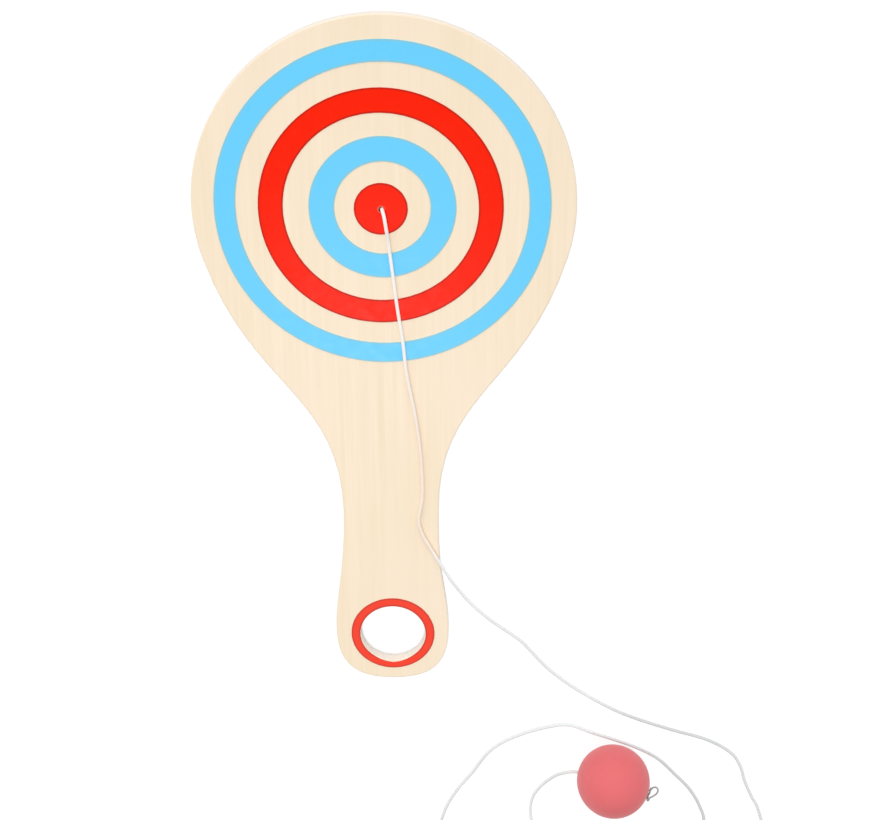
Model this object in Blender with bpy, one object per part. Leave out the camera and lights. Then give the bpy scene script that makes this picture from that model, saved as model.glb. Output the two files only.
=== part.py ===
"""Paddle ball: a printed plywood paddle with a rubber ball on an elastic cord.

Lengths are in metres. The paddle lies on its back at Z = 0, with its head towards +Y and its
printed face up. The origin is on the back face, in the middle of the narrow waist of the paddle,
where the hand holds it. The ball lies on the same surface beside the end of the handle, and the
elastic runs from the middle of the head to the ball.
"""

import math

import bmesh
import bpy
from mathutils import Euler, Vector
from mathutils.geometry import interpolate_bezier

MM = 0.001

# Target on the head, outwards from its middle: a bullseye and three rings, with bare wood between
BULLSEYE_RADIUS = 9.0 * MM
BARE_WOOD_1 = 7.05 * MM
INNER_BLUE_WIDTH = 8.55 * MM
BARE_WOOD_2 = 8.0 * MM
RED_WIDTH = 8.3 * MM
BARE_WOOD_3 = 8.0 * MM
OUTER_BLUE_WIDTH = 7.25 * MM
TARGET_MARGIN = 8.1 * MM
INNER_BLUE_START = BULLSEYE_RADIUS + BARE_WOOD_1
INNER_BLUE_END = INNER_BLUE_START + INNER_BLUE_WIDTH
RED_START = INNER_BLUE_END + BARE_WOOD_2
RED_END = RED_START + RED_WIDTH
OUTER_BLUE_START = RED_END + BARE_WOOD_3
OUTER_BLUE_END = OUTER_BLUE_START + OUTER_BLUE_WIDTH

# Hole in the handle, with a printed ring round it
HANG_HOLE_RADIUS = 12.35 * MM
HANG_RING_WIDTH = 3.45 * MM
HANG_RING_RAISED = 0.2 * MM
GRIP_MARGIN = 5.55 * MM
BUTT_MARGIN = 4.7 * MM

# Paddle outline, half of it: a round head, a long flank, a waist and a rounded handle end
HEAD_RADIUS = OUTER_BLUE_END + TARGET_MARGIN
HEAD_CENTRE_Y = 116.7 * MM
HEAD_ARC_END = math.radians(-16.0)
FLANK_TOP_PULL = 51.5 * MM
FLANK_WAIST_PULL = 49.0 * MM
WAIST_HALF = 17.4 * MM
WAIST_Y = 0.0
GRIP_LENGTH = 51.4 * MM
GRIP_WAIST_PULL = 30.0 * MM
GRIP_END_PULL = 16.0 * MM
GRIP_END_Y = WAIST_Y - GRIP_LENGTH
GRIP_END_HALF = HANG_HOLE_RADIUS + HANG_RING_WIDTH + GRIP_MARGIN
HANG_HOLE_ASIDE = 0.3 * MM
HANG_HOLE_DROP = 1.9 * MM
HANG_HOLE_CENTRE = Vector((-HANG_HOLE_ASIDE, GRIP_END_Y - HANG_HOLE_DROP))
BUTT_Y = HANG_HOLE_CENTRE.y - HANG_HOLE_RADIUS - HANG_RING_WIDTH - BUTT_MARGIN
BUTT_SIDE_PULL = 17.4 * MM
BUTT_END_PULL = 13.4 * MM
HEAD_ASIDE = 0.2 * MM
GRIP_ASIDE = 0.45 * MM
GRIP_LEAN_LENGTH = 25.0 * MM
ARC_STEPS = 28
FLANK_STEPS = 16
GRIP_STEPS = 10
BUTT_STEPS = 12

# Plywood, bottom to top
FACE_PLY = 1.0 * MM
CORE_PLY = 1.9 * MM
GLUE_LINE = 0.05 * MM
EDGE_EASE = 0.5 * MM
CORE_BOTTOM = FACE_PLY + GLUE_LINE
CORE_TOP = CORE_BOTTOM + CORE_PLY
FRONT_BOTTOM = CORE_TOP + GLUE_LINE
FACE_TOP = FRONT_BOTTOM + FACE_PLY

# Printing on the face. The two inks are a little out of register, as they were printed
INK = 0.1 * MM
INK_GAP = 0.05 * MM
INK_BOTTOM = FACE_TOP + INK_GAP
INK_TOP = INK_BOTTOM + INK
RED_ASIDE = 1.2 * MM
RED_LOWERED = 0.2 * MM
BLUE_ASIDE = 0.65 * MM
BLUE_RAISED = 0.1 * MM
RED_CENTRE = Vector((-RED_ASIDE, HEAD_CENTRE_Y - RED_LOWERED))
BLUE_CENTRE = Vector((-BLUE_ASIDE, HEAD_CENTRE_Y + BLUE_RAISED))
CHIPPED_RIM = 0.2 * MM
PRINT_SETBACK = 0.1 * MM
RING_STEPS = 72

# Elastic cord, its bore through the board and the knot that holds it in a pocket in the back
CORD_RADIUS = 0.6 * MM
CORD_REST = 0.1 * MM
CORD_STEP = 14.0 * MM
JOINT_GAP = 0.3 * MM
CORD_ASIDE = 0.8 * MM
CORD_LOWERED = 0.3 * MM
CORD_EXIT = Vector((-CORD_ASIDE, HEAD_CENTRE_Y - CORD_LOWERED))
CORD_LEAN = 0.25 * MM
CORD_HOLE = Vector((CORD_EXIT.x - CORD_LEAN, CORD_EXIT.y))
CORD_HOLE_CLEARANCE = 0.4 * MM
CORD_HOLE_RADIUS = CORD_RADIUS + CORD_HOLE_CLEARANCE
NECK_BELOW_FACE = 0.8 * MM
KNOT_MEAN_RADIUS = 2.5 * CORD_RADIUS
KNOT_LOBE = 1.1 * CORD_RADIUS
KNOT_HALF_HEIGHT = 1.15 * CORD_RADIUS
KNOT_TURNS = (0.1, 5.85)
KNOT_TAIL = 1.5 * CORD_RADIUS
KNOT_CLEARANCE = 0.2 * MM
KNOT_OUTER = KNOT_MEAN_RADIUS + KNOT_LOBE
POCKET_RADIUS = 2 * KNOT_OUTER + CORD_RADIUS + 2 * KNOT_CLEARANCE
POCKET_DEPTH = 2 * (KNOT_HALF_HEIGHT + CORD_RADIUS + KNOT_CLEARANCE)
KNOT_LEAD = 1.9 * CORD_RADIUS
KNOT_STEPS = 36
KNOT_STEP = 2 * CORD_RADIUS
POCKET_STEPS = 40
CORD_HOLE_STEPS = 24

# Ball, resting beside the handle. Its bore slopes up from the cord's side to the knot's side
BALL_RADIUS = 14.2 * MM
BALL_ASIDE = 85.3 * MM
BALL_BEYOND = 115.9 * MM
BALL_CENTRE = Vector((BALL_ASIDE, -BALL_BEYOND, BALL_RADIUS))
BORE_TURN = Euler((0.0, math.radians(-13.1), math.radians(-7.1)), "XYZ")
BORE_CLEARANCE = 0.35 * MM
BORE_RADIUS = CORD_RADIUS + BORE_CLEARANCE
BALL_ARC_STEPS = 24
BALL_TURN_STEPS = 40

# Route of the free stretch of the cord, in millimetres, from the paddle to the ball
# Out of the bore, as offsets from the hole and heights above the face
ROUTE_RISE = [(0, 0, 0.3), (0.6, -1.3, 2.2), (1.2, -5.0, 2.6), (2.0, -12.0, 1.2)]
# Lying on the face, to the edge of the handle
ROUTE_FACE = [
    (2.2, 95.0), (3.8, 80.5), (5.4, 68.5), (6.5, 56.5), (9.0, 42.0), (10.8, 28.0),
    (11.6, 13.0), (11.4, 6.0), (10.4, 0.0), (10.1, -3.2), (11.3, -8.5), (17.0, -19.9),
]
# Falling from the edge to the surface below
ROUTE_FALL = [(19.5, -25.0, 4.0), (21.8, -30.0, 2.8), (24.8, -35.2, 1.6), (29.4, -41.7, 0.85)]
# Lying on that surface, in a spiral that closes in round the ball
ROUTE_TABLE = [
    (36.5, -49.0), (49.0, -59.3), (53.0, -64.2), (58.6, -71.0), (65.4, -77.4), (75.6, -85.1),
    (87.6, -92.5), (99.7, -97.8), (111.3, -102.0), (121.8, -105.5), (129.7, -109.8), (134.8, -114.4),
    (137.8, -120.1), (139.8, -126.7), (143.4, -135.1), (146.2, -140.6),
    (148.8, -155.3), (138.3, -171.8), (109.9, -183.2), (71.9, -185.7), (35.0, -178.2), (16.8, -159.8),
    (18.9, -143.0), (23.8, -132.2), (30.1, -122.9), (36.0, -113.4), (41.0, -108.4), (49.7, -103.5),
    (58.7, -100.3), (67.9, -98.9), (77.1, -102.5), (95.2, -109.9), (104.2, -115.5), (111.8, -123.7),
    (118.0, -131.1), (122.5, -139.5), (124.8, -148.3),
    (116.8, -162.8), (90.4, -169.3), (65.4, -164.3), (56.9, -154.8),
]
# Rising to the ball
ROUTE_CLIMB = [
    (54.1, -144.8, 1.2), (53.9, -137.9, 2.2), (55.0, -131.7, 3.6), (57.1, -126.7, 5.0),
    (60.0, -122.0, 6.6), (64.4, -117.1, 8.5),
]

# The loop and hitch outside the ball, in cord radii: along the bore from the ball's surface,
# then across it, down the ball as it is seen from the printed side, then out of it
HITCH_TURN = math.radians(39.8)
HITCH = [
    (1.3, 0, 0), (2.8, -0.3, -0.2), (4, -1.7, -0.3), (5.3, -1.8, -0.2), (6.4, -0.3, 0),
    (6.2, 1.8, 0), (5, 3.7, -0.2), (3.2, 4.5, -1), (1.7, 3.3, -2.2), (1.3, 1.2, -2.8),
    (1.2, -1.2, -2.4), (1.2, -2.7, -0.2), (1.2, -1.5, 2.3), (1.2, 0.8, 2.7), (1, 3.2, 2.3),
    (0.7, 5.5, 1.7), (0.2, 7.2, 1),
]

WOOD = (0.92, 0.79, 0.63)
CORE_WOOD = (0.86, 0.70, 0.52)
SKY_BLUE = (0.16, 0.64, 0.97)
RED = (1.0, 0.03, 0.005)
HANDLE_RED = (1.0, 0.065, 0.03)
ELASTIC_WHITE = (0.88, 0.87, 0.85)
BALL_PINK = (0.84, 0.15, 0.16)


def clear_scene():
    for thing in list(bpy.data.objects):
        bpy.data.objects.remove(thing, do_unlink=True)


def material(name, colour, roughness):
    """A plain Principled material with no metal in it."""
    made = bpy.data.materials.new(name)
    made.use_nodes = True
    shader = made.node_tree.nodes["Principled BSDF"]
    shader.inputs["Base Color"].default_value = (*colour, 1.0)
    shader.inputs["Roughness"].default_value = roughness
    shader.inputs["Metallic"].default_value = 0.0
    return made


def add_mesh(name, bm, finish, smooth_angle=math.radians(35.0)):
    """Turn a bmesh into a smooth-shaded object with outward faces."""
    bmesh.ops.recalc_face_normals(bm, faces=bm.faces)
    mesh = bpy.data.meshes.new(name)
    bm.to_mesh(mesh)
    bm.free()
    mesh.shade_smooth()
    mesh.set_sharp_from_angle(angle=smooth_angle)
    mesh.materials.append(finish)
    made = bpy.data.objects.new(name, mesh)
    bpy.context.collection.objects.link(made)
    return made


def bezier(start, start_pull, end_pull, end, steps):
    """Points of one cubic curve, without its last point."""
    knots = [Vector((*point, 0.0)) for point in (start, start_pull, end_pull, end)]
    points = interpolate_bezier(knots[0], knots[1], knots[2], knots[3], steps + 1)
    return [(point.x, point.y) for point in points[:-1]]


def half_outline():
    """The right-hand edge of the paddle, from the top of the head to the end of the handle."""
    points = []
    for i in range(ARC_STEPS):
        angle = math.pi / 2 + (HEAD_ARC_END - math.pi / 2) * i / ARC_STEPS
        points.append((HEAD_RADIUS * math.cos(angle), HEAD_CENTRE_Y + HEAD_RADIUS * math.sin(angle)))
    cosine = math.cos(HEAD_ARC_END)
    sine = math.sin(HEAD_ARC_END)
    shoulder = (HEAD_RADIUS * cosine, HEAD_CENTRE_Y + HEAD_RADIUS * sine)
    shoulder_pull = (shoulder[0] + FLANK_TOP_PULL * sine, shoulder[1] - FLANK_TOP_PULL * cosine)
    points += bezier(
        shoulder, shoulder_pull,
        (WAIST_HALF, WAIST_Y + FLANK_WAIST_PULL), (WAIST_HALF, WAIST_Y), FLANK_STEPS,
    )
    points += bezier(
        (WAIST_HALF, WAIST_Y), (WAIST_HALF, WAIST_Y - GRIP_WAIST_PULL),
        (GRIP_END_HALF, GRIP_END_Y + GRIP_END_PULL), (GRIP_END_HALF, GRIP_END_Y), GRIP_STEPS,
    )
    points += bezier(
        (GRIP_END_HALF, GRIP_END_Y), (GRIP_END_HALF, GRIP_END_Y - BUTT_SIDE_PULL),
        (BUTT_END_PULL, BUTT_Y), (0.0, BUTT_Y), BUTT_STEPS,
    )
    return points + [(0.0, BUTT_Y)]


def eased(share):
    """A share held between 0 and 1 that starts and stops gently."""
    held = min(max(share, 0.0), 1.0)
    return held * held * (3.0 - 2.0 * held)


def middle(y):
    """How far across the paddle its middle lies: it was cut a little askew, to the -X side."""
    to_head = eased((y - WAIST_Y) / (HEAD_CENTRE_Y - WAIST_Y))
    to_grip = eased((WAIST_Y - y) / GRIP_LEAN_LENGTH)
    return -HEAD_ASIDE * to_head - GRIP_ASIDE * to_grip


def outline():
    """The whole edge, as one closed ring of points."""
    right = half_outline()
    left = [(-x, y) for x, y in reversed(right[1:-1])]
    return [(x + middle(y), y) for x, y in right + left]


def ply(name, bottom, top, finish, eased=None):
    """One veneer of the board, with the rim at height eased rounded off."""
    bm = bmesh.new()
    face = bm.faces.new([bm.verts.new((x, y, bottom)) for x, y in outline()])
    lifted = bmesh.ops.extrude_face_region(bm, geom=[face])["geom"]
    corners = [part for part in lifted if isinstance(part, bmesh.types.BMVert)]
    bmesh.ops.translate(bm, verts=corners, vec=(0.0, 0.0, top - bottom))
    if eased is not None:
        rim = [edge for edge in bm.edges if all(abs(v.co.z - eased) < INK_GAP for v in edge.verts)]
        bmesh.ops.bevel(bm, geom=rim, offset=EDGE_EASE, segments=2, profile=0.5, affect="EDGES")
    return add_mesh(name, bm, finish)


def drum(name, centre, radius, bottom, top, steps, finish):
    """An upright round bar, used to cut a hole or a pocket."""
    bm = bmesh.new()
    ring = []
    for i in range(steps):
        angle = 2 * math.pi * i / steps
        ring.append(bm.verts.new((radius * math.cos(angle), radius * math.sin(angle), bottom)))
    lifted = bmesh.ops.extrude_face_region(bm, geom=[bm.faces.new(ring)])["geom"]
    corners = [part for part in lifted if isinstance(part, bmesh.types.BMVert)]
    bmesh.ops.translate(bm, verts=corners, vec=(0.0, 0.0, top - bottom))
    made = add_mesh(name, bm, finish)
    made.location = (centre.x, centre.y, 0.0)
    made.hide_render = True
    made.display_type = "WIRE"
    return made


def cut(target, cutters):
    for cutter in cutters:
        boolean = target.modifiers.new(cutter.name, "BOOLEAN")
        boolean.operation = "DIFFERENCE"
        boolean.solver = "EXACT"
        boolean.object = cutter


def board(wood, core_wood):
    """Three glued veneers, with the handle hole, the cord bore and the knot's pocket."""
    front = ply("front_face_ply", FRONT_BOTTOM, FACE_TOP, wood, eased=FACE_TOP)
    core = ply("cross_ply_core", CORE_BOTTOM, CORE_TOP, core_wood)
    back = ply("back_face_ply", 0.0, FACE_PLY, wood, eased=0.0)
    beyond = FACE_PLY
    hang_hole = drum(
        "hang_hole_cutter", HANG_HOLE_CENTRE, HANG_HOLE_RADIUS,
        -beyond, FACE_TOP + beyond, RING_STEPS, wood,
    )
    bore = drum(
        "cord_bore_cutter", CORD_HOLE, CORD_HOLE_RADIUS,
        POCKET_DEPTH - GLUE_LINE, FACE_TOP + beyond, CORD_HOLE_STEPS, wood,
    )
    pocket = drum(
        "knot_pocket_cutter", CORD_EXIT, POCKET_RADIUS, -beyond, POCKET_DEPTH, POCKET_STEPS, wood,
    )
    cut(front, [hang_hole, bore])
    cut(core, [hang_hole, pocket, bore])
    cut(back, [hang_hole, pocket])


def printed_ring(name, centre, inner, outer, finish, hole_centre=None):
    """A flat film of ink between two radii, whose hole may have a centre of its own."""
    bm = bmesh.new()
    shift = Vector((0.0, 0.0)) if hole_centre is None else hole_centre - centre
    rings = []
    for i in range(RING_STEPS):
        angle = 2 * math.pi * i / RING_STEPS
        way = Vector((math.cos(angle), math.sin(angle)))
        near = shift + way * inner
        far = way * outer
        corners = [(near, INK_BOTTOM), (far, INK_BOTTOM), (far, INK_TOP), (near, INK_TOP)]
        rings.append([bm.verts.new((*point, z)) for point, z in corners])
    close_rings(bm, rings)
    made = add_mesh(name, bm, finish)
    made.location = (centre.x, centre.y, 0.0)


def close_rings(bm, rings):
    """Join each ring of corners to the next, and the last to the first."""
    count = len(rings[0])
    for i, ring in enumerate(rings):
        following = rings[(i + 1) % len(rings)]
        for j in range(count):
            k = (j + 1) % count
            bm.faces.new((ring[j], ring[k], following[k], following[j]))


def printing(blue, red, handle_red):
    printed_ring("outer_blue_ring_print", BLUE_CENTRE, OUTER_BLUE_START, OUTER_BLUE_END, blue)
    printed_ring("red_ring_print", RED_CENTRE, RED_START, RED_END, red)
    printed_ring("inner_blue_ring_print", BLUE_CENTRE, INNER_BLUE_START, INNER_BLUE_END, blue)
    rim = CORD_HOLE_RADIUS + CHIPPED_RIM
    printed_ring("bullseye_print", RED_CENTRE, rim, BULLSEYE_RADIUS, red, CORD_HOLE)
    ring_centre = HANG_HOLE_CENTRE + Vector((0.0, HANG_RING_RAISED))
    printed_ring(
        "handle_ring_print", ring_centre, HANG_HOLE_RADIUS + PRINT_SETBACK,
        HANG_HOLE_RADIUS + HANG_RING_WIDTH, handle_red, HANG_HOLE_CENTRE,
    )


def smooth_route(points, step):
    """Read points from a centripetal Catmull-Rom curve through the given ones."""
    first = points[0] * 2 - points[1]
    last = points[-1] * 2 - points[-2]
    padded = [first] + points + [last]
    read = []
    for a, b, c, d in zip(padded, padded[1:], padded[2:], padded[3:]):
        t1 = (b - a).length ** 0.5
        t2 = t1 + (c - b).length ** 0.5
        t3 = t2 + (d - c).length ** 0.5
        count = max(1, round((c - b).length / step))
        for i in range(count):
            t = t1 + (t2 - t1) * i / count
            ab = a * ((t1 - t) / t1) + b * (t / t1)
            bc = b * ((t2 - t) / (t2 - t1)) + c * ((t - t1) / (t2 - t1))
            cd = c * ((t3 - t) / (t3 - t2)) + d * ((t - t2) / (t3 - t2))
            abc = ab * ((t2 - t) / t2) + bc * (t / t2)
            bcd = bc * ((t3 - t) / (t3 - t1)) + cd * ((t - t1) / (t3 - t1))
            read.append(abc * ((t2 - t) / (t2 - t1)) + bcd * ((t - t1) / (t2 - t1)))
    return read + [points[-1]]


def strand(name, points, finish):
    """A stretch of round cord along the given points, with closed ends."""
    curve = bpy.data.curves.new(name, "CURVE")
    curve.dimensions = "3D"
    curve.bevel_depth = CORD_RADIUS
    curve.bevel_resolution = 2
    curve.use_fill_caps = True
    spline = curve.splines.new("POLY")
    spline.points.add(len(points) - 1)
    for slot, point in zip(spline.points, points):
        slot.co = (*point, 1.0)
    curve.materials.append(finish)
    made = bpy.data.objects.new(name, curve)
    bpy.context.collection.objects.link(made)
    return made


def length_of(points):
    return sum((b - a).length for a, b in zip(points, points[1:]))


def paddle_end_knot(finish):
    """The stretch in the board's bore, ending in an overhand knot laid in the pocket."""
    centre = Vector((CORD_EXIT.x - KNOT_OUTER, CORD_EXIT.y, POCKET_DEPTH / 2))
    top = FACE_TOP - NECK_BELOW_FACE
    low = centre.z + KNOT_LEAD
    points = [Vector((CORD_EXIT.x, CORD_EXIT.y, z)) for z in (top, (top + low) / 2, low)]
    for i in range(KNOT_STEPS + 1):
        t = KNOT_TURNS[0] + (KNOT_TURNS[1] - KNOT_TURNS[0]) * i / KNOT_STEPS
        radius = KNOT_MEAN_RADIUS + KNOT_LOBE * math.cos(3 * t)
        height = KNOT_HALF_HEIGHT * math.sin(3 * t)
        points.append(centre + Vector((radius * math.cos(2 * t), radius * math.sin(2 * t), height)))
    outward = points[-1] - centre
    outward.z = 0.0
    points.append(points[-1] + outward.normalized() * KNOT_TAIL)
    strand("paddle_end_knot", smooth_route(points, KNOT_STEP), finish)


def bore_frame():
    """An empty at the ball's centre, with its X axis along the ball's bore."""
    empty = bpy.data.objects.new("tether_end", None)
    empty.location = BALL_CENTRE
    empty.rotation_euler = BORE_TURN
    bpy.context.collection.objects.link(empty)
    return empty


def ball(finish, holder):
    """A solid ball turned round its bore, which runs along its own X axis."""
    bm = bmesh.new()
    start = math.asin(BORE_RADIUS / BALL_RADIUS)
    profile = []
    for i in range(BALL_ARC_STEPS + 1):
        angle = start + (math.pi - 2 * start) * i / BALL_ARC_STEPS
        profile.append((BALL_RADIUS * math.cos(angle), BALL_RADIUS * math.sin(angle)))
    rings = []
    for i in range(BALL_TURN_STEPS):
        angle = 2 * math.pi * i / BALL_TURN_STEPS
        rings.append([bm.verts.new((x, r * math.cos(angle), r * math.sin(angle))) for x, r in profile])
    close_rings(bm, rings)
    made = add_mesh("ball", bm, finish)
    made.parent = holder


def ball_end_knot(finish, holder):
    """The stretch in the ball's bore, with the loop and hitch that stop it outside."""
    mouth = BALL_RADIUS
    start = -BALL_RADIUS + JOINT_GAP + CORD_RADIUS
    points = [Vector((x, 0.0, 0.0)) for x in (start, 0.0, mouth)]
    cosine = math.cos(HITCH_TURN)
    sine = math.sin(HITCH_TURN)
    for u, v, w in HITCH:
        offset = Vector((u, w * sine - v * cosine, v * sine + w * cosine))
        points.append(Vector((mouth, 0.0, 0.0)) + offset * CORD_RADIUS)
    made = strand("ball_end_knot", smooth_route(points, KNOT_STEP), finish)
    made.parent = holder


def elastic_cord(finish):
    """The free stretch, from just inside the board's bore to just inside the ball's."""
    lie = CORD_RADIUS + CORD_REST
    start = FACE_TOP - NECK_BELOW_FACE + JOINT_GAP
    points = [Vector((CORD_EXIT.x, CORD_EXIT.y, start))]
    points += [
        Vector((CORD_EXIT.x + x * MM, CORD_EXIT.y + y * MM, FACE_TOP + z * MM)) for x, y, z in ROUTE_RISE
    ]
    points += [Vector((x * MM, y * MM, INK_TOP + lie)) for x, y in ROUTE_FACE]
    points += [Vector((x * MM, y * MM, z * MM)) for x, y, z in ROUTE_FALL]
    points += [Vector((x * MM, y * MM, lie)) for x, y in ROUTE_TABLE]
    points += [Vector((x * MM, y * MM, z * MM)) for x, y, z in ROUTE_CLIMB]
    inward = BORE_TURN.to_matrix() @ Vector((1.0, 0.0, 0.0))
    mouth = BALL_CENTRE - inward * BALL_RADIUS
    points += [mouth - inward * 2 * CORD_RADIUS, mouth + inward * CORD_RADIUS]
    read = smooth_route(points, CORD_STEP)
    print("elastic_cord: points", len(read), "length", round(length_of(smooth_route(points, MM)), 4))
    strand("elastic_cord", read, finish)


def build():
    clear_scene()
    wood = material("pale_wood", WOOD, 0.6)
    core_wood = material("core_wood", CORE_WOOD, 0.7)
    blue = material("sky_blue_ink", SKY_BLUE, 0.5)
    red = material("red_ink", RED, 0.5)
    handle_red = material("handle_red_ink", HANDLE_RED, 0.5)
    elastic = material("white_elastic", ELASTIC_WHITE, 0.55)
    rubber = material("pink_rubber", BALL_PINK, 0.6)
    board(wood, core_wood)
    printing(blue, red, handle_red)
    paddle_end_knot(elastic)
    elastic_cord(elastic)
    holder = bore_frame()
    ball(rubber, holder)
    ball_end_knot(elastic, holder)


build()
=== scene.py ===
"""Looks of the paddle ball: camera, soft studio light, cord, printing, ball and wood.

Every length is in metres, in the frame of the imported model, unless its name says otherwise.
"""

import math

import bmesh
import bpy
from mathutils import Euler, Matrix, Vector, noise


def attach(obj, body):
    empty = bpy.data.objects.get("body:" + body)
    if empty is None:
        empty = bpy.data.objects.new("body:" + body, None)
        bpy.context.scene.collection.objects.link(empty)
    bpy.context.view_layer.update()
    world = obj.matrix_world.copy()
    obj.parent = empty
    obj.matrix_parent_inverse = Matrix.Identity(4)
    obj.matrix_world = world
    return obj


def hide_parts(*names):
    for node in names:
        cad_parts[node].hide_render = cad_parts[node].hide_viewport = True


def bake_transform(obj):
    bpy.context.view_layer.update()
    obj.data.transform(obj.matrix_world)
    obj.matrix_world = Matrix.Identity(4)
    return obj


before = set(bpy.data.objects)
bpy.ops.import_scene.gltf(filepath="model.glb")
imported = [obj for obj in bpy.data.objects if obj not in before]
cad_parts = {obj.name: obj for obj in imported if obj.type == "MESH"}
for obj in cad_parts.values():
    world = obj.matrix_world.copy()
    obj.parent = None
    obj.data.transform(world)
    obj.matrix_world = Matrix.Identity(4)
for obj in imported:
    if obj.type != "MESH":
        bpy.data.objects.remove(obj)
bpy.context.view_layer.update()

MM = 0.001
OPAQUE = 1.0

# Camera, solved from the four rings of the target
CAMERA_PLACE = Vector((22.636, 283.880, 491.401)) * MM
CAMERA_RIGHT = Vector((0.99986835, -0.00875284, -0.0136631))
CAMERA_DOWN = Vector((-0.00181972, -0.89720953, 0.44160134))
CAMERA_FORWARD = Vector((-0.01612393, -0.44151833, -0.89710734))
CAMERA_SENSOR_MM = 36.0
CAMERA_LENS_MM = 62.24
CAMERA_SHIFT_X = 0.01910
CAMERA_SHIFT_Y = -0.00618

# Light. The world gives most of it, and more from beyond the head than from beyond the handle. A
# wide lamp adds to the head's side, and a smaller one over the handle's end leaves a sheen on the
# lower face
WORLD_LEVEL = 0.77
WORLD_LEAN = Vector((-0.03, 0.75, 0.0))
LIT_POINT = Vector((0.02, 0.02, 0.0))
KEY_PLACE = Vector((-0.5, 1.3, 0.8))
KEY_SIZE = 1.2
KEY_POWER = 5.0
SHEEN_PLACE = Vector((-0.07, -0.43, 1.105))
SHEEN_SIZE = 0.24
SHEEN_POWER = 2.0

# Table. Plain white, which takes no shadow, is mixed into its paint where the camera sees it
FLOOR_HALF = 2.5
FLOOR_Z = -0.05 * MM
FLOOR_COLOUR = (0.85, 0.85, 0.85)
FLOOR_PLAIN_SHARE = 0.82
FLOOR_PLAIN_LEVEL = 1.1
FLOOR_FADE = 1.2
RIM_SHADOW = 0.9 * MM

# Board
FACE_TOP = 4.0 * MM
HANG_HOLE_CENTRE = Vector((-0.3, -53.3)) * MM
HANG_HOLE_RADIUS = 12.35 * MM
HANG_RING_CENTRE = Vector((-0.3, -53.1)) * MM
HANG_RING_WIDTH = 3.45 * MM
HANG_RING_SAG = 0.65 * MM
HANG_RING_SAG_HALF = math.radians(42.0)
HANG_RING_SAG_POWER = 1.3

# Printing
INK_TOP = 4.15 * MM
INK_SEAT = 0.01 * MM
INK_EDGE = 0.04 * MM
INK_WANDER = 0.05 * MM
INK_WANDER_LENGTH = 1.5 * MM
OUTER_EDGE_SEED = 9.0
INK_SHARP_ANGLE = math.radians(30.0)
RED_CENTRE = Vector((-1.2, 116.5)) * MM
BLUE_CENTRE = Vector((-0.65, 116.8)) * MM
BULLSEYE_RADIUS = 9.0 * MM
INNER_BLUE = (16.05 * MM, 24.6 * MM)
RED_RING = (32.6 * MM, 40.9 * MM)
OUTER_BLUE = (48.9 * MM, 56.15 * MM)
PRINT_SETBACK = 0.1 * MM
RING_STEPS = 360

# Cord, its hole in the board and its knots
CORD_RADIUS = 0.6 * MM
CORD_REST = 0.1 * MM
CORD_EXIT = Vector((-0.8, 116.4)) * MM
CORD_HOLE = Vector((-1.05, 116.4)) * MM
CORD_HOLE_RADIUS = 1.0 * MM
CORD_SIDES = 16
CORD_STEP = 1.0 * MM
CORD_UNEVEN = 0.015
CORD_UNEVEN_LENGTH = 4 * MM
DOME_WIDTH = 0.7
DOME_SHOULDER = 0.25 * CORD_RADIUS
DOME_HEIGHT = 0.35 * CORD_RADIUS
NECK_BELOW_FACE = 0.8 * MM
JOINT_GAP = 0.3 * MM
JOINT_GAP_LEFT = 0.1 * JOINT_GAP
KNOT_MEAN_RADIUS = 2.5 * CORD_RADIUS
KNOT_LOBE = 1.1 * CORD_RADIUS
KNOT_HALF_HEIGHT = 1.15 * CORD_RADIUS
KNOT_TURNS = (0.1, 5.85)
KNOT_TAIL = 1.5 * CORD_RADIUS
KNOT_LEAD = 1.9 * CORD_RADIUS
KNOT_CLEARANCE = 0.2 * MM
KNOT_STEPS = 36
KNOT_STEP = 0.25 * MM
POCKET_DEPTH = 2 * (KNOT_HALF_HEIGHT + CORD_RADIUS + KNOT_CLEARANCE)
POCKET_REACH = 6.0 * MM

# Wear round the cord's hole: chipped ink and ink worn pale, and painted shade on the wood of the bore
INK_HOLE_RADIUS = 0.9 * MM
CHIP = 0.03 * MM
CHIPS_ROUND = 2.2
CHIP_SEED = 4.0
WORN_FULL = 1.2 * MM
WORN_END = 1.45 * MM
BORE_SHADE_FULL = CORD_HOLE_RADIUS + 0.03 * MM
BORE_SHADE_END = CORD_HOLE_RADIUS + 0.1 * MM
BORE_SHADE_COLOUR = (0.10, 0.055, 0.04)

# Ball
BALL_RADIUS = 14.2 * MM
BALL_CENTRE = Vector((85.3, -115.9, 14.2)) * MM
BORE_TURN = Euler((0.0, math.radians(-13.1), math.radians(-7.1)), "XYZ")
BORE_RADIUS = 0.95 * MM
BORE_LIP = 0.35 * MM
LIP_STEPS = 6
BALL_ARC_STEPS = 96
BALL_TURN_STEPS = 128

# Finish. Noise keeps mostly between the first two. A wall is a face whose normal lies flatter than
# WALL_LEAN, from where it begins to where it is full
NOISE_LOW = 0.3
NOISE_HIGH = 0.7
BEAD_FULL = 0.45 * MM
BEAD_END = 0.8 * MM
PORE_SHADE = 0.8
WALL_LEAN = (0.97, 0.6)
WALL_SHARE = 0.85
# Painted light: inside the handle hole the wall's colour is drawn a tenth lighter
HOLE_WALL_REACH = (1.2 * HANG_HOLE_RADIUS, 1.1 * HANG_HOLE_RADIUS)
HOLE_WALL_PAINTED_LIGHT = 1.1
SHARP_ANGLE = math.radians(50.0)
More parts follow.
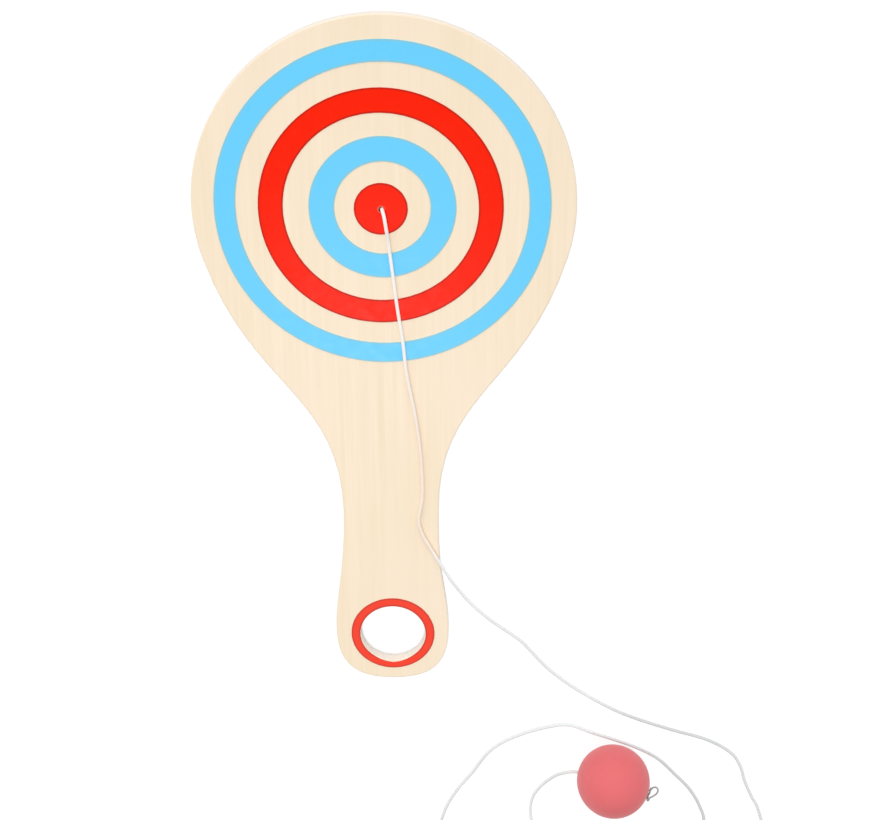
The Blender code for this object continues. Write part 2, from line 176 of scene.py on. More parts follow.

# Tones of the cord from the paddle on: where each begins, where it is full, and its colour
# Past the board the greys are painted shade: the cord's shaded side and its shadow on the table
CORD_TONES_AND_SHADE = [
    (0.05, 0.09, (0.95, 0.83, 0.735)), (0.134, 0.143, (0.91, 0.915, 0.92)),
    (0.150, 0.158, (0.85, 0.855, 0.86)), (0.167, 0.177, (0.78, 0.785, 0.79)),
    (0.23, 0.25, (0.62, 0.63, 0.64)), (0.285, 0.30, (0.75, 0.755, 0.76)),
    (0.572, 0.585, (0.78, 0.83, 0.83)), (0.61, 0.625, (0.64, 0.66, 0.67)),
    (0.66, 0.70, (0.79, 0.80, 0.80)), (0.735, 0.748, (0.89, 0.89, 0.89)),
    (0.762, 0.772, (0.80, 0.80, 0.80)), (0.775, 0.782, (0.73, 0.73, 0.73)),
]

# Route of the free stretch of the cord, in millimetres, from the paddle to the ball
# Out of the bore, as offsets from the hole and heights above the face
ROUTE_RISE = [(0, 0, 0.3), (0.6, -1.3, 2.2), (1.2, -5.0, 2.6), (2.0, -12.0, 1.2)]
# Lying on the face, to the edge of the handle
ROUTE_FACE = [
    (2.2, 95.0), (3.8, 80.5), (5.4, 68.5), (6.5, 56.5), (9.0, 42.0), (10.8, 28.0),
    (11.6, 13.0), (11.4, 6.0), (10.4, 0.0), (10.1, -3.2), (11.3, -8.5), (17.0, -19.9),
]
# Falling from the edge to the table
ROUTE_FALL = [(19.5, -25.0, 4.0), (21.8, -30.0, 2.8), (24.8, -35.2, 1.6), (29.4, -41.7, 0.85)]
# Lying on the table, in a spiral that closes in round the ball
ROUTE_TABLE = [
    (36.5, -49.0), (49.0, -59.3), (53.0, -64.2), (58.6, -71.0), (65.4, -77.4), (75.6, -85.1),
    (87.6, -92.5), (99.7, -97.8), (111.3, -102.0), (121.8, -105.5), (129.7, -109.8), (134.8, -114.4),
    (137.8, -120.1), (139.8, -126.7), (143.4, -135.1), (146.2, -140.6),
    (148.8, -155.3), (138.3, -171.8), (109.9, -183.2), (71.9, -185.7), (35.0, -178.2), (16.8, -159.8),
    (18.9, -143.0), (23.8, -132.2), (30.1, -122.9), (36.0, -113.4), (41.0, -108.4), (49.7, -103.5),
    (58.7, -100.3), (67.9, -98.9), (77.1, -102.5), (95.2, -109.9), (104.2, -115.5), (111.8, -123.7),
    (118.0, -131.1), (122.5, -139.5), (124.8, -148.3),
    (116.8, -162.8), (90.4, -169.3), (65.4, -164.3), (56.9, -154.8),
]
# Rising to the ball
ROUTE_CLIMB = [
    (54.1, -144.8, 1.2), (53.9, -137.9, 2.2), (55.0, -131.7, 3.6), (57.1, -126.7, 5.0),
    (60.0, -122.0, 6.6), (64.4, -117.1, 8.5),
]

# The loop and hitch outside the ball, in cord radii: along the bore, across it, out of the ball.
# The thread is drawn thin there. It loops out, comes back to a bead and is tied behind the mouth
HITCH_TURN = math.radians(39.8)
HITCH = [
    (0.9, -0.5, 0), (2.1, -2.2, 0), (3.6, -2.9, 0), (5.0, -2.5, 0), (5.7, -0.9, 0), (5.1, 0.9, 0),
    (3.8, 2.5, 0), (2.3, 3.9, 0), (1.0, 4.9, 0.3), (0.1, 5.8, 0.5), (0.3, 6.6, -0.1),
    (1.0, 6.3, -0.7), (1.1, 5.2, -0.6), (0.6, 4.8, 0.4), (0.2, 5.5, 1.0), (0.0, 5.6, -0.2),
    (0.0, 4.4, -2.2), (0.4, 2.6, -2.4), (0.7, 1.2, -1.6), (0.8, -1.0, -1.2), (0.8, -1.5, 0.2),
    (0.8, -0.6, 1.4), (0.8, 0.9, 1.2), (0.8, 1.5, 0),
]
HITCH_THINNING = 0.52
THINNING_START = 1.7 * BALL_RADIUS
THINNING_LENGTH = 0.2 * BALL_RADIUS


def node(tree, kind, inputs=None, **settings):
    """One shader node. Each input is a value or the output of another node."""
    made = tree.nodes.new(kind)
    for key, value in settings.items():
        setattr(made, key, value)
    for key, value in (inputs or {}).items():
        if isinstance(value, bpy.types.NodeSocket):
            tree.links.new(value, made.inputs[key])
        else:
            made.inputs[key].default_value = value
    return made


def between(tree, value, low, high, start=0.0, end=1.0):
    """The value read from low to high as start to end, and held outside."""
    return node(
        tree, "ShaderNodeMapRange",
        {"Value": value, "From Min": low, "From Max": high, "To Min": start, "To Max": end},
    ).outputs[0]


def spread(tree, value, start, end):
    """The range that noise mostly keeps to, read as start to end."""
    return between(tree, value, NOISE_LOW, NOISE_HIGH, start, end)


def combined(tree, operation, a, b=0.0):
    """Two values put together, or one value changed, where the operation takes only one."""
    return node(tree, "ShaderNodeMath", {0: a, 1: b}, operation=operation).outputs[0]


def mixed(tree, share, first, second):
    """Two colours mixed by a share, which is the output of another node."""
    made = node(tree, "ShaderNodeMix", data_type="RGBA")
    for index, value in ((0, share), (6, first), (7, second)):
        if isinstance(value, bpy.types.NodeSocket):
            tree.links.new(value, made.inputs[index])
        else:
            made.inputs[index].default_value = (*value, OPAQUE)
    return made.outputs[2]


def raised(tree, shader, height, distance, strength):
    """Bumps on a surface, from a height between 0 and 1."""
    bump = node(tree, "ShaderNodeBump", {"Height": height, "Distance": distance, "Strength": strength})
    tree.links.new(bump.outputs["Normal"], shader.inputs["Normal"])


def grain(tree, scale, detail, roughness, distortion=0.0, source="Object"):
    """Noise from 0 to 1, with so many cells a metre along each axis."""
    place = node(tree, "ShaderNodeTexCoord")
    cells = node(tree, "ShaderNodeMapping", {"Vector": place.outputs[source], "Scale": scale})
    return node(
        tree, "ShaderNodeTexNoise",
        {
            "Vector": cells.outputs["Vector"], "Scale": 1.0, "Detail": detail,
            "Roughness": roughness, "Distortion": distortion,
        },
    ).outputs["Fac"]


def reach_from(tree, centre):
    """Distance from an upright axis through the given point."""
    place = node(tree, "ShaderNodeTexCoord")
    level = node(
        tree, "ShaderNodeVectorMath", {0: place.outputs["Object"], 1: (1.0, 1.0, 0.0)},
        operation="MULTIPLY",
    )
    return node(
        tree, "ShaderNodeVectorMath", {0: level.outputs[0], 1: (centre.x, centre.y, 0.0)},
        operation="DISTANCE",
    ).outputs["Value"]


def seen_directly(tree):
    """1 for the rays that show the background: from the camera, or through gloss or glass."""
    path = node(tree, "ShaderNodeLightPath")
    camera_or_gloss = combined(
        tree, "MAXIMUM", path.outputs["Is Camera Ray"], path.outputs["Is Glossy Ray"],
    )
    return combined(tree, "MAXIMUM", camera_or_gloss, path.outputs["Is Transmission Ray"])


def new_material(name):
    made = bpy.data.materials.new(name)
    made.use_nodes = True
    return made, made.node_tree, made.node_tree.nodes["Principled BSDF"]


def as_object(name, bm, sharp_angle=SHARP_ANGLE):
    """Turn a bmesh into a smooth-shaded object with outward faces."""
    bmesh.ops.recalc_face_normals(bm, faces=bm.faces)
    mesh = bpy.data.meshes.new(name)
    bm.to_mesh(mesh)
    bm.free()
    mesh.shade_smooth()
    mesh.set_sharp_from_angle(angle=sharp_angle)
    made = bpy.data.objects.new(name, mesh)
    bpy.context.collection.objects.link(made)
    return made


def add_camera():
    data = bpy.data.cameras.new("photo_camera")
    data.sensor_width = CAMERA_SENSOR_MM
    data.lens = CAMERA_LENS_MM
    data.shift_x = CAMERA_SHIFT_X
    data.shift_y = CAMERA_SHIFT_Y
    camera = bpy.data.objects.new("photo_camera", data)
    turn = Matrix((CAMERA_RIGHT, -CAMERA_DOWN, -CAMERA_FORWARD)).transposed()
    camera.matrix_world = Matrix.Translation(CAMERA_PLACE) @ turn.to_4x4()
    bpy.context.collection.objects.link(camera)
    bpy.context.scene.camera = camera


def add_world():
    """White where it is seen. As light it is dimmer, and leans towards the head's side."""
    world = bpy.data.worlds.new("studio")
    bpy.context.scene.world = world
    world.use_nodes = True
    tree = world.node_tree
    direction = node(tree, "ShaderNodeTexCoord").outputs["Generated"]
    lean = node(
        tree, "ShaderNodeVectorMath", {0: direction, 1: WORLD_LEAN * WORLD_LEVEL},
        operation="DOT_PRODUCT",
    ).outputs["Value"]
    light = combined(tree, "ADD", lean, WORLD_LEVEL)
    background = tree.nodes["Background"]
    background.inputs["Color"].default_value = (1.0, 1.0, 1.0, OPAQUE)
    strength = between(tree, seen_directly(tree), 0.0, 1.0, light, 1.0)
    tree.links.new(strength, background.inputs["Strength"])


def add_lamp(name, place, size, power):
    data = bpy.data.lights.new(name, "AREA")
    data.shape = "DISK"
    data.size = size
    data.energy = power
    lamp = bpy.data.objects.new(name, data)
    lamp.location = place
    lamp.rotation_euler = (LIT_POINT - place).to_track_quat("-Z", "Y").to_euler()
    bpy.context.collection.objects.link(lamp)


def add_floor():
    """A white table. Most of what is seen of it is plain white, and the rest keeps the shadow.

    The plain white is left out under the knot's pocket, so that the cord's hole looks dark, and
    along the foot of the handle hole, where the board's own shadow lies.
    """
    bm = bmesh.new()
    corners = [(-1, -1), (1, -1), (1, 1), (-1, 1)]
    bm.faces.new([bm.verts.new((x * FLOOR_HALF, y * FLOOR_HALF, FLOOR_Z)) for x, y in corners])
    floor = as_object("floor", bm)
    paint, tree, shader = new_material("floor_white")
    shader.inputs["Base Color"].default_value = (*FLOOR_COLOUR, OPAQUE)
    shader.inputs["Roughness"].default_value = 0.9
    shader.inputs["Specular IOR Level"].default_value = 0.1
    plain = node(tree, "ShaderNodeEmission", {"Strength": FLOOR_PLAIN_LEVEL})
    off_pocket = between(tree, reach_from(tree, CORD_HOLE), POCKET_REACH, FLOOR_FADE * POCKET_REACH)
    hole_reach = reach_from(tree, HANG_HOLE_CENTRE)
    off_rim = between(tree, hole_reach, HANG_HOLE_RADIUS, HANG_HOLE_RADIUS - RIM_SHADOW)
    outside = between(tree, hole_reach, HANG_HOLE_RADIUS, FLOOR_FADE * HANG_HOLE_RADIUS)
    open_table = combined(tree, "MULTIPLY", off_pocket, combined(tree, "MAXIMUM", off_rim, outside))
    seen_open = combined(tree, "MULTIPLY", seen_directly(tree), open_table)
    share = between(tree, seen_open, 0.0, 1.0, 0.0, FLOOR_PLAIN_SHARE)
    surface = node(
        tree, "ShaderNodeMixShader",
        {0: share, 1: shader.outputs["BSDF"], 2: plain.outputs["Emission"]},
    )
    tree.links.new(surface.outputs[0], tree.nodes["Material Output"].inputs["Surface"])
    floor.data.materials.append(paint)


def smooth_route(points, step):
    """Read points from a centripetal Catmull-Rom curve through the given ones."""
    first = points[0] * 2 - points[1]
    last = points[-1] * 2 - points[-2]
    padded = [first] + points + [last]
    read = []
    for a, b, c, d in zip(padded, padded[1:], padded[2:], padded[3:]):
        t1 = (b - a).length ** 0.5
        t2 = t1 + (c - b).length ** 0.5
        t3 = t2 + (d - c).length ** 0.5
        count = max(1, round((c - b).length / step))
        for i in range(count):
            t = t1 + (t2 - t1) * i / count
            ab = a * ((t1 - t) / t1) + b * (t / t1)
            bc = b * ((t2 - t) / (t2 - t1)) + c * ((t - t1) / (t2 - t1))
            cd = c * ((t3 - t) / (t3 - t2)) + d * ((t - t2) / (t3 - t2))
            abc = ab * ((t2 - t) / t2) + bc * (t / t2)
            bcd = bc * ((t3 - t) / (t3 - t1)) + cd * ((t - t1) / (t3 - t1))
            read.append(abc * ((t2 - t) / (t2 - t1)) + bcd * ((t - t1) / (t2 - t1)))
    return read + [points[-1]]


def tube(name, path, seed, thickness=None):
    """A round strand along a path, very slightly uneven, with domed ends.

    Its UV map is in metres, along the strand and round it. The thickness, where one is given, is a
    factor worked out from the length travelled.
    """
    bm = bmesh.new()
    uv = bm.loops.layers.uv.new("along")
    side = (path[1] - path[0]).orthogonal().normalized()
    rings = []
    travelled = [0.0]
    for a, b in zip(path, path[1:]):
        travelled.append(travelled[-1] + (b - a).length)
    for i, point in enumerate(path):
        way = (path[min(i + 1, len(path) - 1)] - path[max(i - 1, 0)]).normalized()
        side = (side - way * side.dot(way)).normalized()
        up = way.cross(side)
        bumps = noise.noise(Vector((travelled[i] / CORD_UNEVEN_LENGTH, seed, 0.0)))
        radius = CORD_RADIUS * (1.0 + CORD_UNEVEN * bumps)
        if thickness is not None:
            radius *= thickness(travelled[i])
        ring = []
        for j in range(CORD_SIDES):
            angle = 2 * math.pi * j / CORD_SIDES
            reach = side * math.cos(angle) + up * math.sin(angle)
            ring.append(bm.verts.new(point + reach * radius))
        rings.append(ring)
    for i in range(len(rings) - 1):
        for j in range(CORD_SIDES):
            k = (j + 1) % CORD_SIDES
            face = bm.faces.new((rings[i][j], rings[i][k], rings[i + 1][k], rings[i + 1][j]))
            turns = (j, j + 1, j + 1, j)
            lengths = (travelled[i], travelled[i], travelled[i + 1], travelled[i + 1])
            for loop, turn, length in zip(face.loops, turns, lengths):
                loop[uv].uv = (length, turn / CORD_SIDES * 2 * math.pi * CORD_RADIUS)
    cap(bm, rings[0], path[0], (path[0] - path[1]).normalized())
    cap(bm, rings[-1], path[-1], (path[-1] - path[-2]).normalized())
    return as_object(name, bm)


def cap(bm, ring, centre, outward):
    """Close the end of a strand with a shallow dome."""
    shoulder = centre + outward * DOME_SHOULDER
    inner = [bm.verts.new(shoulder + (v.co - centre) * DOME_WIDTH) for v in ring]
    tip = bm.verts.new(centre + outward * DOME_HEIGHT)
    for j in range(len(ring)):
        k = (j + 1) % len(ring)
        bm.faces.new((ring[j], ring[k], inner[k], inner[j]))
        bm.faces.new((inner[j], inner[k], tip))


def close_rings(bm, rings):
    """Join each ring of corners to the next, and the last to the first."""
    count = len(rings[0])
    for i, ring in enumerate(rings):
        following = rings[(i + 1) % len(rings)]
        for j in range(count):
            k = (j + 1) % count
            bm.faces.new((ring[j], ring[k], following[k], following[j]))


def cord_route():
    """The middle line of the free stretch, from inside the board's bore to inside the ball's."""
    lie = CORD_RADIUS + CORD_REST
    points = [Vector((CORD_EXIT.x, CORD_EXIT.y, FACE_TOP - NECK_BELOW_FACE + JOINT_GAP))]
    points += [
        Vector((CORD_EXIT.x + x * MM, CORD_EXIT.y + y * MM, FACE_TOP + z * MM)) for x, y, z in ROUTE_RISE
    ]
    points += [Vector((x * MM, y * MM, INK_TOP + lie)) for x, y in ROUTE_FACE]
    points += [Vector((x * MM, y * MM, z * MM)) for x, y, z in ROUTE_FALL]
    points += [Vector((x * MM, y * MM, lie)) for x, y in ROUTE_TABLE]
    points += [Vector((x * MM, y * MM, z * MM)) for x, y, z in ROUTE_CLIMB]
    inward = BORE_TURN.to_matrix() @ Vector((1.0, 0.0, 0.0))
    mouth = BALL_CENTRE - inward * BALL_RADIUS
    points += [mouth - inward * 2 * CORD_RADIUS, mouth + inward * CORD_RADIUS]
    return smooth_route(points, CORD_STEP), mouth


def add_cord(finish):
    path, mouth = cord_route()
    cord = tube("elastic_cord_strand", path, 1.0)
    cord.data.materials.append(finish)
    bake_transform(cord)
    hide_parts("elastic_cord")


def add_paddle_knot(finish):
    """An overhand knot in the pocket in the back, and the stretch that leads up to the hole."""
    outer = KNOT_MEAN_RADIUS + KNOT_LOBE
    centre = Vector((CORD_EXIT.x - outer, CORD_EXIT.y, POCKET_DEPTH / 2))
    top = FACE_TOP - NECK_BELOW_FACE + JOINT_GAP - JOINT_GAP_LEFT
    low = centre.z + KNOT_LEAD
    points = [Vector((CORD_EXIT.x, CORD_EXIT.y, z)) for z in (top, (top + low) / 2, low)]
    for i in range(KNOT_STEPS + 1):
        t = KNOT_TURNS[0] + (KNOT_TURNS[1] - KNOT_TURNS[0]) * i / KNOT_STEPS
        radius = KNOT_MEAN_RADIUS + KNOT_LOBE * math.cos(3 * t)
        height = KNOT_HALF_HEIGHT * math.sin(3 * t)
        points.append(centre + Vector((radius * math.cos(2 * t), radius * math.sin(2 * t), height)))
    outward = points[-1] - centre
    outward.z = 0.0
    points.append(points[-1] + outward.normalized() * KNOT_TAIL)
    knot = tube("overhand_knot", smooth_route(points, KNOT_STEP), 2.0)
    knot.data.materials.append(finish)
    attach(knot, "tether")
    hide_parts("paddle_end_knot")


def bore_frame():
    """The place of the ball, with X along its bore."""
    return Matrix.Translation(BALL_CENTRE) @ BORE_TURN.to_matrix().to_4x4()


def hitch_thickness(travelled):
    """The cord fills the bore, and is drawn thinner where it comes out of it."""
    share = min(max((travelled - THINNING_START) / THINNING_LENGTH, 0.0), 1.0)
    return 1.0 + (HITCH_THINNING - 1.0) * share


def add_ball_knot(finish):
    """The stretch in the ball's bore, with the loop and hitch that stop it outside."""
    start = -BALL_RADIUS + CORD_RADIUS + JOINT_GAP_LEFT
    points = [Vector((x, 0.0, 0.0)) for x in (start, 0.0, BALL_RADIUS)]
    cosine = math.cos(HITCH_TURN)
    sine = math.sin(HITCH_TURN)
    for u, v, w in HITCH:
        offset = Vector((u, w * sine - v * cosine, v * sine + w * cosine))
        points.append(Vector((BALL_RADIUS, 0.0, 0.0)) + offset * CORD_RADIUS)
    bore = bore_frame()
    path = smooth_route([bore @ point for point in points], KNOT_STEP)
    knot = tube("ball_hitch", path, 3.0, hitch_thickness)
    knot.data.materials.append(finish)
    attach(knot, "tether_end")
    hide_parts("ball_end_knot")


def add_ball(finish):
    """A solid ball turned round its bore, with rounded lips where the cord goes in and out."""
    along = math.sqrt((BALL_RADIUS - BORE_LIP) ** 2 - (BORE_RADIUS + BORE_LIP) ** 2)
    lip_end = math.atan2(BORE_RADIUS + BORE_LIP, along)
    right = []
    for i in range(LIP_STEPS):
        angle = -math.pi / 2 + (lip_end + math.pi / 2) * i / LIP_STEPS
        right.append((along + BORE_LIP * math.cos(angle), BORE_RADIUS + BORE_LIP * (1 + math.sin(angle))))
    profile = list(right)
    for i in range(BALL_ARC_STEPS + 1):
        angle = lip_end + (math.pi - 2 * lip_end) * i / BALL_ARC_STEPS
        profile.append((BALL_RADIUS * math.cos(angle), BALL_RADIUS * math.sin(angle)))
    profile += [(-x, r) for x, r in reversed(right)]
    bm = bmesh.new()
    rings = []
    for i in range(BALL_TURN_STEPS):
        angle = 2 * math.pi * i / BALL_TURN_STEPS
        rings.append([bm.verts.new((x, r * math.cos(angle), r * math.sin(angle))) for x, r in profile])
    close_rings(bm, rings)
    bmesh.ops.transform(bm, matrix=bore_frame(), verts=bm.verts)
    ball = as_object("rubber_ball", bm)
    ball.data.materials.append(finish)
    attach(ball, "ball")
    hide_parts("ball")


def wander(way, radius, seed):
    """How far a printed edge strays from its circle."""
    return INK_WANDER * noise.noise(Vector((*(way * radius / INK_WANDER_LENGTH), seed)))


def printed_ring(
    name, node_name, slot, centre, inner, outer, finish, seed, hole_centre=None, near_edge=None,
):
    """A film of ink between two radii, with soft shoulders and edges that wander a little.

    Its inner edge can have a centre of its own, and near_edge says how much it moves out there at
    each angle.
    """
    hole_centre = centre if hole_centre is None else hole_centre
    bm = bmesh.new()
    rings = []
    low = FACE_TOP + INK_SEAT
    shoulder = INK_TOP - INK_EDGE
    for i in range(RING_STEPS):
        angle = 2 * math.pi * i / RING_STEPS
        way = Vector((math.cos(angle), math.sin(angle)))
        near = inner + wander(way, inner, seed)
        if near_edge is not None:
            near += near_edge(angle)
        far = outer + wander(way, outer, seed + OUTER_EDGE_SEED)
        edge_in = hole_centre + way * near
        ease_in = hole_centre + way * (near + INK_EDGE)
        edge_out = centre + way * far
        ease_out = centre + way * (far - INK_EDGE)
        corners = [
            (edge_in, low), (edge_out, low), (edge_out, shoulder), (ease_out, INK_TOP),
            (ease_in, INK_TOP), (edge_in, shoulder),
        ]
        rings.append([bm.verts.new((*point, z)) for point, z in corners])
    close_rings(bm, rings)
    made = as_object(name, bm, INK_SHARP_ANGLE)
    made.data.materials.append(finish)
    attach(made, "paddle")
    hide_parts(node_name)


def hang_ring_inner(angle):
    """The inner edge of the ring round the handle hole hangs in a slight V at its bottom."""
    off_bottom = abs((angle + math.pi / 2 + math.pi) % (2 * math.pi) - math.pi)
    return HANG_RING_SAG * max(0.0, 1.0 - off_bottom / HANG_RING_SAG_HALF) ** HANG_RING_SAG_POWER


def chipped_rim(angle):
    """Ink broken away unevenly round the cord's hole."""
    place = Vector((math.cos(angle) * CHIPS_ROUND, math.sin(angle) * CHIPS_ROUND, CHIP_SEED))
    return CHIP * noise.noise(place)


def add_printing(blue, red, bullseye, handle_red):
    printed_ring(
        "outer_blue_ring", "outer_blue_ring_print", "sky_blue_ink", BLUE_CENTRE, *OUTER_BLUE, blue, 1.0,
    )
    printed_ring("red_ring", "red_ring_print", "red_ink", RED_CENTRE, *RED_RING, red, 2.0)
    printed_ring(
        "inner_blue_ring", "inner_blue_ring_print", "sky_blue_ink", BLUE_CENTRE, *INNER_BLUE, blue, 3.0,
    )
    printed_ring(
        "bullseye", "bullseye_print", "red_ink", RED_CENTRE, INK_HOLE_RADIUS,
        BULLSEYE_RADIUS, bullseye, 4.0, CORD_HOLE, chipped_rim,
    )
    printed_ring(
        "handle_ring", "handle_ring_print", "handle_red_ink", HANG_RING_CENTRE,
        HANG_HOLE_RADIUS + PRINT_SETBACK, HANG_HOLE_RADIUS + HANG_RING_WIDTH, handle_red, 5.0,
        HANG_HOLE_CENTRE, hang_ring_inner,
    )


def scaled(colour, factor):
    return tuple(channel * factor for channel in colour)


def wood(name, pale, dark, tinted, wall, along_y):
    """Veneer whose bands, streaks and pores are drawn out along its grain."""
    made, tree, shader = new_material(name)

    def cells(across, along):
        return (across, along, across) if along_y else (along, across, across)

    bands = grain(tree, cells(70.0, 4.0), 3.0, 0.55, 0.6)
    streaks = grain(tree, cells(800.0, 14.0), 3.0, 0.6, 0.2)
    fibres = grain(tree, cells(3200.0, 70.0), 2.0, 0.6)
    patches = grain(tree, cells(28.0, 16.0), 2.0, 0.5)
    tone = combined(tree, "ADD", spread(tree, bands, 0.0, 0.45), spread(tree, streaks, 0.0, 0.35))
    tone = combined(tree, "ADD", tone, spread(tree, fibres, 0.0, 0.2))
    colour = mixed(tree, tone, dark, pale)
    colour = mixed(tree, between(tree, patches, 0.45, 0.75, 0.0, 0.5), colour, tinted)
    pores = between(tree, fibres, NOISE_LOW, 0.22, 0.0, 0.35)
    colour = mixed(tree, pores, colour, scaled(dark, PORE_SHADE))
    # Painted light on the handle hole's wall
    in_hole = between(tree, reach_from(tree, HANG_HOLE_CENTRE), *HOLE_WALL_REACH)
    wall = mixed(tree, in_hole, wall, scaled(wall, HOLE_WALL_PAINTED_LIGHT))
    normal = node(tree, "ShaderNodeTexCoord").outputs["Normal"]
    upward = node(tree, "ShaderNodeSeparateXYZ", {0: normal}).outputs["Z"]
    on_wall = between(tree, combined(tree, "ABSOLUTE", upward), *WALL_LEAN, 0.0, WALL_SHARE)
    colour = mixed(tree, on_wall, colour, wall)
    # Painted shade: the wood in the cord's bore is drawn dark brown, where shade falls in the hole
    bore_shade = between(tree, reach_from(tree, CORD_HOLE), BORE_SHADE_END, BORE_SHADE_FULL)
    colour = mixed(tree, bore_shade, colour, BORE_SHADE_COLOUR)
    tree.links.new(colour, shader.inputs["Base Color"])
    tree.links.new(spread(tree, streaks, 0.45, 0.34), shader.inputs["Roughness"])
    shader.inputs["Specular IOR Level"].default_value = 0.4
    raised(tree, shader, combined(tree, "ADD", streaks, fibres), 0.03 * MM, 0.6)
    return made


def ink(name, colour, thin, bead, centre, radii, roughness=0.24, specular=0.056):
    """Printing ink over the grain of the wood, thinner in places, with a bead along its edges."""
    made, tree, shader = new_material(name)
    mottle = grain(tree, (260.0, 260.0, 260.0), 3.0, 0.6)
    fibres = grain(tree, (1500.0, 40.0, 1500.0), 3.0, 0.6)
    share = combined(
        tree, "ADD", between(tree, mottle, 0.45, 0.8, 0.0, 0.1), between(tree, fibres, 0.5, 0.8, 0.0, 0.1),
    )
    base = mixed(tree, share, colour, thin)
    reach = reach_from(tree, centre)
    for radius in radii:
        off = combined(tree, "ABSOLUTE", combined(tree, "SUBTRACT", reach, radius))
        base = mixed(tree, between(tree, off, BEAD_END, BEAD_FULL), base, bead)
    tree.links.new(base, shader.inputs["Base Color"])
    gloss = spread(tree, mottle, roughness - 0.05, roughness + 0.05)
    tree.links.new(gloss, shader.inputs["Roughness"])
    shader.inputs["Specular IOR Level"].default_value = specular
    raised(tree, shader, fibres, 0.02 * MM, 0.5)
    return made


def bullseye_ink(name, colour, thin, bead, rim):
    """The bullseye's ink, scraped thin round the hole that the cord rubs in."""
    made = ink(name, colour, thin, bead, RED_CENTRE, (BULLSEYE_RADIUS,))
    tree = made.node_tree
    base = tree.nodes["Principled BSDF"].inputs["Base Color"]
    unworn = base.links[0].from_socket
    worn = between(tree, reach_from(tree, CORD_HOLE), WORN_END, WORN_FULL)
    tree.links.new(mixed(tree, worn, unworn, rim), base)
    return made


def elastic(name, colour, shade, tones=()):
    """White rubber thread, dusty, with fine drawn lines along it, and other tones further along, which for
    the cord are mostly painted shade.
    """
    made, tree, shader = new_material(name)
    dust = grain(tree, (500.0, 900.0, 1.0), 3.0, 0.6, source="UV")
    lines = grain(tree, (60.0, 5000.0, 1.0), 2.0, 0.5, source="UV")
    base = mixed(tree, between(tree, dust, 0.4, 0.75), colour, shade)
    strand = node(tree, "ShaderNodeTexCoord").outputs["UV"]
    along = node(tree, "ShaderNodeSeparateXYZ", {0: strand}).outputs["X"]
    for start, end, tone in tones:
        base = mixed(tree, between(tree, along, start, end), base, tone)
    tree.links.new(base, shader.inputs["Base Color"])
    tree.links.new(spread(tree, dust, 0.5, 0.68), shader.inputs["Roughness"])
    shader.inputs["Specular IOR Level"].default_value = 0.3
    raised(tree, shader, lines, 0.02 * MM, 0.5)
    return made


def rubber(name, colour, bloom, scuffed):
    """Matt solid rubber with a fine skin, a faint bloom and a few rubbed spots."""
    made, tree, shader = new_material(name)
    skin = grain(tree, (2600.0, 2600.0, 2600.0), 2.0, 0.5)
    cloud = grain(tree, (140.0, 140.0, 140.0), 4.0, 0.6)
    rubs = grain(tree, (420.0, 420.0, 420.0), 3.0, 0.65, 1.0)
    base = mixed(tree, between(tree, cloud, 0.35, 0.75, 0.0, 0.5), colour, bloom)
    base = mixed(tree, between(tree, rubs, 0.62, 0.72, 0.0, 0.35), base, scuffed)
    tree.links.new(base, shader.inputs["Base Color"])
    tree.links.new(spread(tree, cloud, 0.55, 0.7), shader.inputs["Roughness"])
    shader.inputs["Specular IOR Level"].default_value = 0.3
    shader.inputs["Sheen Weight"].default_value = 0.22
    raised(tree, shader, skin, 0.03 * MM, 0.5)
    return made


def dress(node_name, finish):
    """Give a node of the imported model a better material."""
    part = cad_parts[node_name]
    for slot in part.material_slots:
        slot.material = finish


def finish_cord_and_ball():
    # The cord's tones past the board are painted shade
    thread = elastic("white_elastic_looks", (0.99, 0.95, 0.91), (0.95, 0.90, 0.86), CORD_TONES_AND_SHADE)
    # Painted shade: the hitch at the ball is drawn dark grey, for the shaded side of the thread there
    hitch_shade = elastic("hitch_painted_shade_looks", (0.31, 0.31, 0.30), (0.42, 0.41, 0.39))
    pink = rubber(
        "pink_rubber_looks", colour=(0.715, 0.130, 0.139), bloom=(0.715, 0.148, 0.161),
        scuffed=(0.74, 0.2, 0.21),
    )
    add_cord(thread)
    add_paddle_knot(thread)
    add_ball_knot(hitch_shade)
    add_ball(pink)


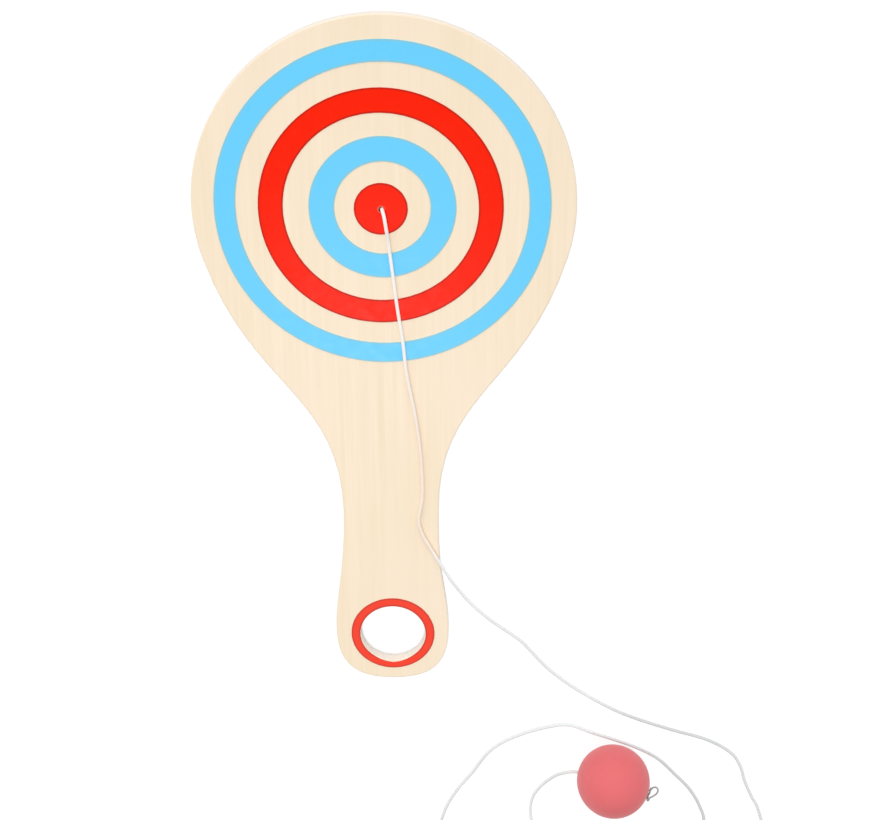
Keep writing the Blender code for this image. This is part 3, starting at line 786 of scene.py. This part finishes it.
def finish_printing():
    blue = ink(
        "sky_blue_looks", colour=(0.145, 0.64, 1.0), thin=(0.2, 0.68, 0.97), bead=(0.22, 0.60, 0.78),
        centre=BLUE_CENTRE, radii=(*INNER_BLUE, *OUTER_BLUE), roughness=0.29, specular=0.15,
    )
    red = ink(
        "red_looks", colour=(1.0, 0.015, 0.0), thin=(1.0, 0.03, 0.004), bead=(0.62, 0.016, 0.004),
        centre=RED_CENTRE, radii=RED_RING,
    )
    bullseye = bullseye_ink(
        "bullseye_looks", colour=(1.0, 0.0155, 0.0), thin=(1.0, 0.03, 0.004),
        bead=(0.62, 0.016, 0.004), rim=(0.86, 0.115, 0.075),
    )
    handle_red = ink(
        "handle_red_looks", colour=(0.96, 0.06, 0.03), thin=(0.95, 0.1, 0.06), bead=(0.66, 0.06, 0.035),
        centre=HANG_RING_CENTRE,
        radii=(HANG_HOLE_RADIUS + PRINT_SETBACK, HANG_HOLE_RADIUS + HANG_RING_WIDTH),
        roughness=0.29, specular=0.1,
    )
    add_printing(blue, red, bullseye, handle_red)


def finish_board():
    face_tones = {"pale": (0.96, 0.82, 0.63), "dark": (0.90, 0.74, 0.53), "tinted": (0.95, 0.79, 0.64)}
    face = wood("pale_wood_looks", **face_tones, wall=(0.80, 0.735, 0.665), along_y=True)
    # Painted shade: the back ply's edge is drawn darker and greyer than the face ply's, for the shade
    # along the board's foot
    back = wood("back_wood_looks", **face_tones, wall=(0.72, 0.68, 0.64), along_y=True)
    core = wood(
        "core_wood_looks", pale=(0.92, 0.79, 0.63), dark=(0.82, 0.66, 0.48), tinted=(0.88, 0.73, 0.60),
        wall=(0.78, 0.705, 0.635), along_y=False,
    )
    dress("front_face_ply", face)
    dress("cross_ply_core", core)
    dress("back_face_ply", back)


def build():
    bpy.context.scene.view_settings.view_transform = "Standard"
    add_camera()
    add_world()
    add_lamp("key", KEY_PLACE, KEY_SIZE, KEY_POWER)
    add_lamp("sheen", SHEEN_PLACE, SHEEN_SIZE, SHEEN_POWER)
    add_floor()
    finish_cord_and_ball()
    finish_printing()
    finish_board()


build()
